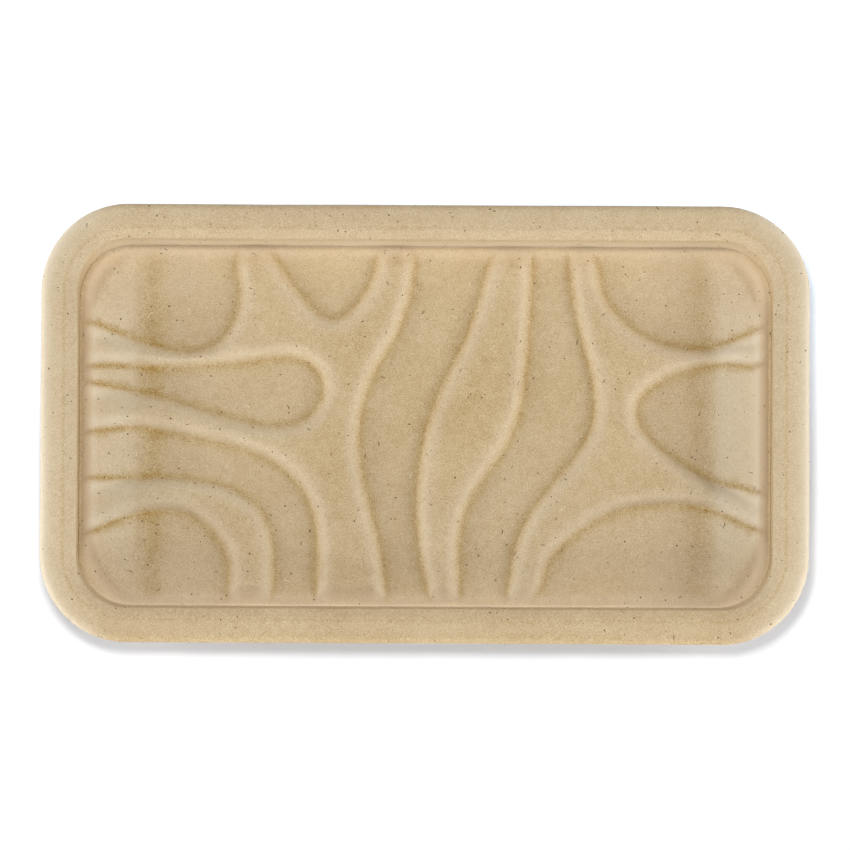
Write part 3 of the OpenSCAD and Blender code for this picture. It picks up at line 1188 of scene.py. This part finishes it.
@dataclass(frozen=True)
class Studio:
    """White table, soft lamps and the camera, almost straight above.

    The table's glow is painted light that only views of it show. It grows from the first value of
    table_lift to the second between the two places of lift_from across the table, so it whitens out
    the low lamps' shadow on the far side and leaves the tray's shadow on the near side.
    """

    lamps: tuple[SoftBox, ...] = (
        SoftBox("lamp_key", (-0.085, 0.20, 1.18), 0.25, 0.25, 8.15),
        SoftBox("lamp_west", (-0.50, 0.0, 0.106), 0.45, 0.10, 0.95),
        SoftBox("lamp_west_high", (-0.55, 0.0, 0.200), 0.50, 0.11, 0.60),
        SoftBox("lamp_east", (0.50, 0.0, 0.106), 0.45, 0.10, 0.40),
        SoftBox("lamp_east_high", (0.55, 0.0, 0.200), 0.50, 0.11, 1.36),
        SoftBox("lamp_south", (0.0, -0.50, 0.106), 0.45, 0.10, 1.14),
        SoftBox("lamp_south_high", (0.0, -0.60, 0.340), 0.54, 0.12, 0.82),
    )
    daylight: float = 0.0
    paper: str = "#F4F4F6"
    # Bluish tint of the painted glow, which also tints the tray's shadow on the table.
    glow: str = "#C9E4FF"
    table_half: float = 3
    table_lift: Pair = (0.15, 0.52)
    lift_from: Pair = (-0.03, 0.06)
    view_height: float = 4.0
    view_width: float = 0.2322
    aim_y: float = -0.00005
    aim_z: float = 0.0085
    turn_deg: float = 0.28
    tilt_deg: float = 3.0
    sensor_mm: float = 36.0
    farthest: float = 20.0

    def table(self) -> bpy.types.Object:
        """Make the white table, which keeps the tray's shadow.

        Returns:
            The table's object.
        """
        material = bpy.data.materials.new("table_white")
        tree = empty_tree(material)
        seen = add_node(tree, "ShaderNodeLightPath").outputs
        any_view = seen["Is Camera Ray"]
        for ray in ("Is Glossy Ray", "Is Transmission Ray"):
            any_view = add_node(tree, "ShaderNodeMath", operation="MAXIMUM",
                                links={0: any_view, 1: seen[ray]}).outputs[0]
        place = add_node(tree, "ShaderNodeTexCoord").outputs["Object"]
        across = add_node(tree, "ShaderNodeSeparateXYZ", links={0: place}).outputs[1]
        # Painted light: stronger on the far side of the table, where it whitens out the low lamps'
        # shadow, weaker on the near side, where the tray's shadow stays.
        graded = add_node(tree, "ShaderNodeMapRange", interpolation_type="SMOOTHSTEP",
                          links={0: across}, values={
                              1: self.lift_from[0], 2: self.lift_from[1],
                              3: self.table_lift[0], 4: self.table_lift[1]}).outputs[0]
        lift = add_node(tree, "ShaderNodeMath", operation="MULTIPLY",
                        links={0: any_view, 1: graded}).outputs[0]
        glow = add_node(tree, "ShaderNodeEmission", links={"Strength": lift},
                        values={"Color": linear(self.glow)}).outputs[0]
        paper = add_node(tree, "ShaderNodeBsdfDiffuse",
                         values={"Color": linear(self.paper)}).outputs[0]
        both = add_node(tree, "ShaderNodeAddShader", links={0: paper, 1: glow})
        add_node(tree, "ShaderNodeOutputMaterial", links={0: both.outputs[0]})
        mesh = bpy.data.meshes.new("table")
        end = self.table_half
        mesh.from_pydata([(-end, -end, 0), (end, -end, 0), (end, end, 0), (-end, end, 0)], [],
                         [(0, 1, 2, 3)])
        mesh.materials.append(material)
        table = put("table", mesh)
        return table

    def camera(self) -> bpy.types.Object:
        """Set the camera above the tray, a few degrees off straight.

        Returns:
            The camera's object.
        """
        data = bpy.data.cameras.new("view")
        data.sensor_width = self.sensor_mm
        data.lens = self.sensor_mm * self.view_height / self.view_width
        data.clip_end = self.farthest
        eye = put("view", data)
        tilt, turn = math.radians(self.tilt_deg), math.radians(self.turn_deg)
        back = self.view_height * math.sin(tilt)
        eye.location = (back * math.sin(turn), self.aim_y - back * math.cos(turn),
                        self.view_height * math.cos(tilt) + self.aim_z)
        eye.rotation_euler = (tilt, 0.0, turn)
        bpy.context.scene.camera = eye
        return eye

    def build(self) -> None:
        """Set up the table, the camera, the lamps and the room, which is dark but for them."""
        self.table()
        self.camera()
        for lamp in self.lamps:
            lamp.build()
        world = bpy.data.worlds.new("room")
        tree = empty_tree(world)
        light = add_node(tree, "ShaderNodeBackground",
                         values={"Color": (1, 1, 1, 1), "Strength": self.daylight})
        add_node(tree, "ShaderNodeOutputWorld", links={0: light.outputs[0]})
        bpy.context.scene.world = world
        bpy.context.scene.view_settings.view_transform = "Standard"


def main() -> None:
    """Build the tray's skin, its stray bits and the studio, and report each piece."""
    logging.basicConfig(level=logging.INFO, format="%(message)s")
    Studio().build()
    sheet = PulpSheet().build()
    sheet.data.materials.append(MouldedPulp().build())
    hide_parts("tray")
    ink = StrayFibre("ink_fibre", "#382A1D", "#66502F")
    straw = StrayFibre("straw_fibre", "#F1E4CA", "#E2CFAA")
    kinds = (
        StrayBits("grit_specks", BitShape.SPECK, ink, per_m2=19000, length_mm=0.42, width_mm=0.28,
                  bend=0.0, seed=11),
        StrayBits("ink_strands", BitShape.STRAND, ink, per_m2=3600, length_mm=1.0, width_mm=0.17,
                  bend=0.22, seed=23),
        StrayBits("straw_strands", BitShape.STRAND, straw, per_m2=3600, length_mm=1.5,
                  width_mm=0.16, bend=0.3, seed=37),
    )
    for piece in [sheet, *[kind.build(sheet) for kind in kinds]]:
        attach(piece, "root")
        log.info("piece %s rides on root", piece.name)


if __name__ == "__main__":
    main()
